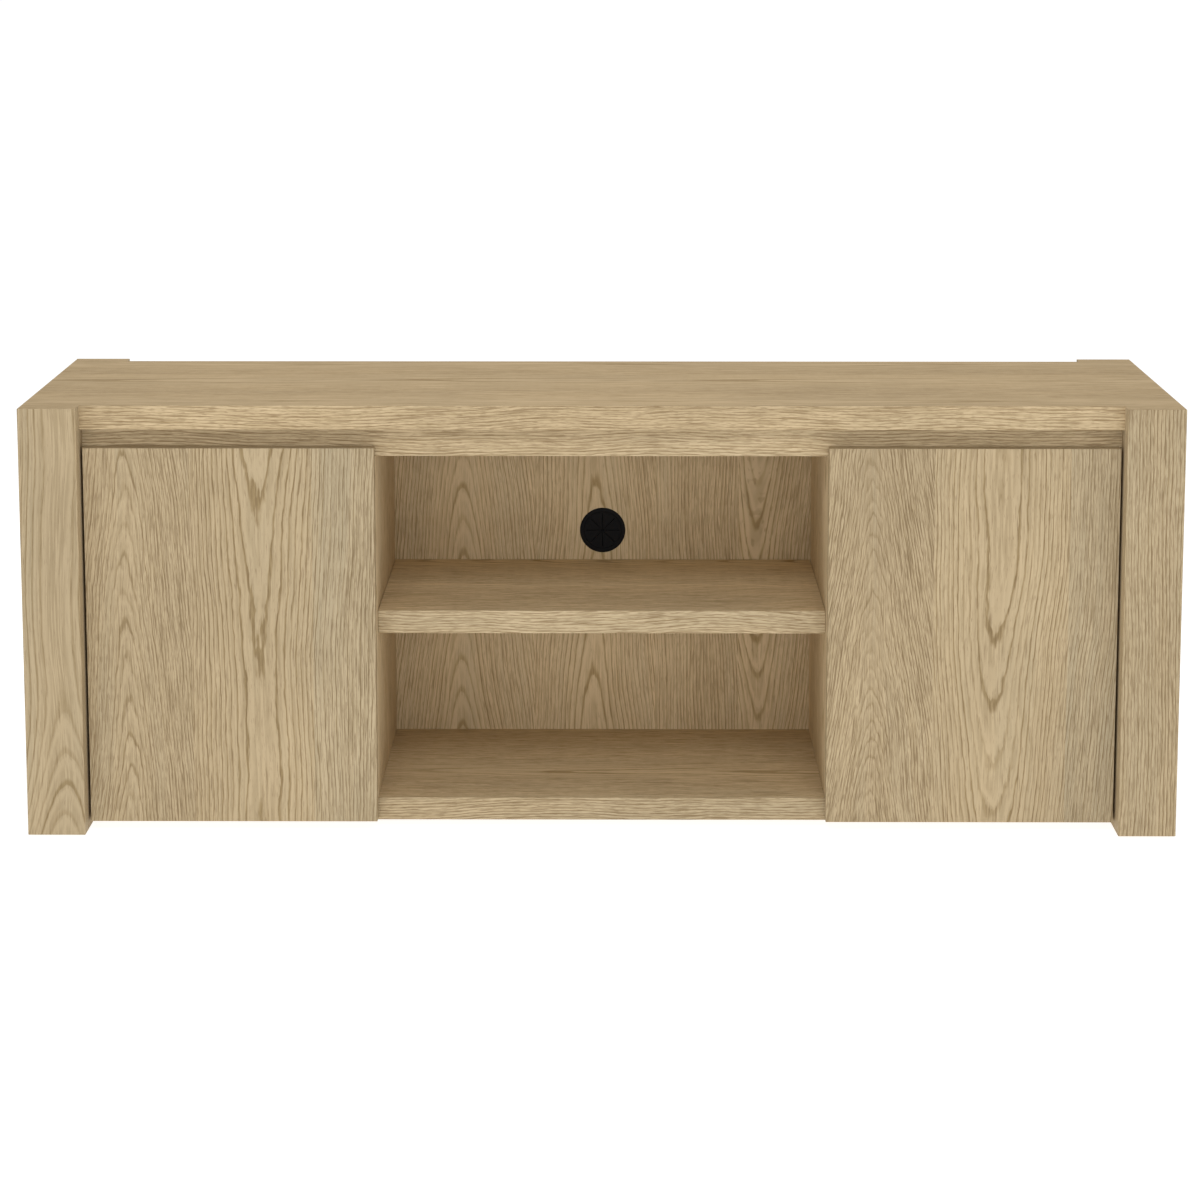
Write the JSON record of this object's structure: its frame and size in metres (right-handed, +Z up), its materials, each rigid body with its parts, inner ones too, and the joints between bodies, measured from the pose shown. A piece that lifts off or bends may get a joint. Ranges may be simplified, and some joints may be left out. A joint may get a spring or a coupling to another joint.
{
  "type": "media cabinet",
  "caption": "Low oak media cabinet: thick end panels, flush top, an open centre bay with a shelf and cable grommet, and a plain handleless hinged door on each side.",
  "frame": {"origin": "on the floor under the middle of the cabinet, halfway between the front and rear faces of the end panels", "axes": "+X to the right as seen from the front, +Y to the rear, so the doors and the open bay face -Y, and +Z up"},
  "size_m": [1.4, 0.42, 0.53],
  "materials": {
    "oak_veneer": "matt lacquered pale oak veneer with long straight and arched grain",
    "nickel_plate": "nickel-plated pressed steel",
    "zinc_fitting": "plain zinc-plated fitting",
    "grommet_rubber": "matt black moulded rubber",
    "clear_bumper": "clear soft polyurethane dot",
    "glide_plastic": "brown moulded plastic"
  },
  "bodies": {
    "root": {"left_end_panel": "oak_veneer", "right_end_panel": "oak_veneer", "top_panel": "oak_veneer", "bottom_panel": "oak_veneer", "front_rail": "oak_veneer", "left_divider": "oak_veneer", "right_divider": "oak_veneer", "centre_shelf": "oak_veneer", "left_inner_shelf": "oak_veneer", "right_inner_shelf": "oak_veneer", "back_panel": "oak_veneer", "cable_grommet": "grommet_rubber", "left_lower_hinge_arm": "nickel_plate", "left_lower_hinge_plate": "nickel_plate", "left_upper_hinge_arm": "nickel_plate", "left_upper_hinge_plate": "nickel_plate", "left_outer_front_peg": "zinc_fitting", "left_outer_back_peg": "zinc_fitting", "left_inner_front_peg": "zinc_fitting", "left_inner_back_peg": "zinc_fitting", "left_top_front_cam": "zinc_fitting", "left_top_front_cam_bolt": "zinc_fitting", "left_top_back_cam": "zinc_fitting", "left_top_back_cam_bolt": "zinc_fitting", "left_bottom_front_cam": "zinc_fitting", "left_bottom_front_cam_bolt": "zinc_fitting", "left_bottom_back_cam": "zinc_fitting", "left_bottom_back_cam_bolt": "zinc_fitting", "left_front_glide": "glide_plastic", "left_back_glide": "glide_plastic", "right_lower_hinge_arm": "nickel_plate", "right_lower_hinge_plate": "nickel_plate", "right_upper_hinge_arm": "nickel_plate", "right_upper_hinge_plate": "nickel_plate", "right_outer_front_peg": "zinc_fitting", "right_outer_back_peg": "zinc_fitting", "right_inner_front_peg": "zinc_fitting", "right_inner_back_peg": "zinc_fitting", "right_top_front_cam": "zinc_fitting", "right_top_front_cam_bolt": "zinc_fitting", "right_top_back_cam": "zinc_fitting", "right_top_back_cam_bolt": "zinc_fitting", "right_bottom_front_cam": "zinc_fitting", "right_bottom_front_cam_bolt": "zinc_fitting", "right_bottom_back_cam": "zinc_fitting", "right_bottom_back_cam_bolt": "zinc_fitting", "right_front_glide": "glide_plastic", "right_back_glide": "glide_plastic"},
    "left_door": {"left_door": "oak_veneer", "left_lower_hinge_cup": "nickel_plate", "left_lower_bumper": "clear_bumper", "left_upper_hinge_cup": "nickel_plate", "left_upper_bumper": "clear_bumper"},
    "right_door": {"right_door": "oak_veneer", "right_lower_hinge_cup": "nickel_plate", "right_lower_bumper": "clear_bumper", "right_upper_hinge_cup": "nickel_plate", "right_upper_bumper": "clear_bumper"}
  },
  "joints": [
    {"name": "left_door_hinge", "type": "hinge", "parent": "root", "child": "left_door", "pos_m": [-0.622, -0.18, 0.2455], "axis": [0, 0, -1], "range_deg": [0, 90]},
    {"name": "right_door_hinge", "type": "hinge", "parent": "root", "child": "right_door", "pos_m": [0.622, -0.18, 0.2455], "axis": [0, 0, 1], "range_deg": [0, 90]}
  ]
}
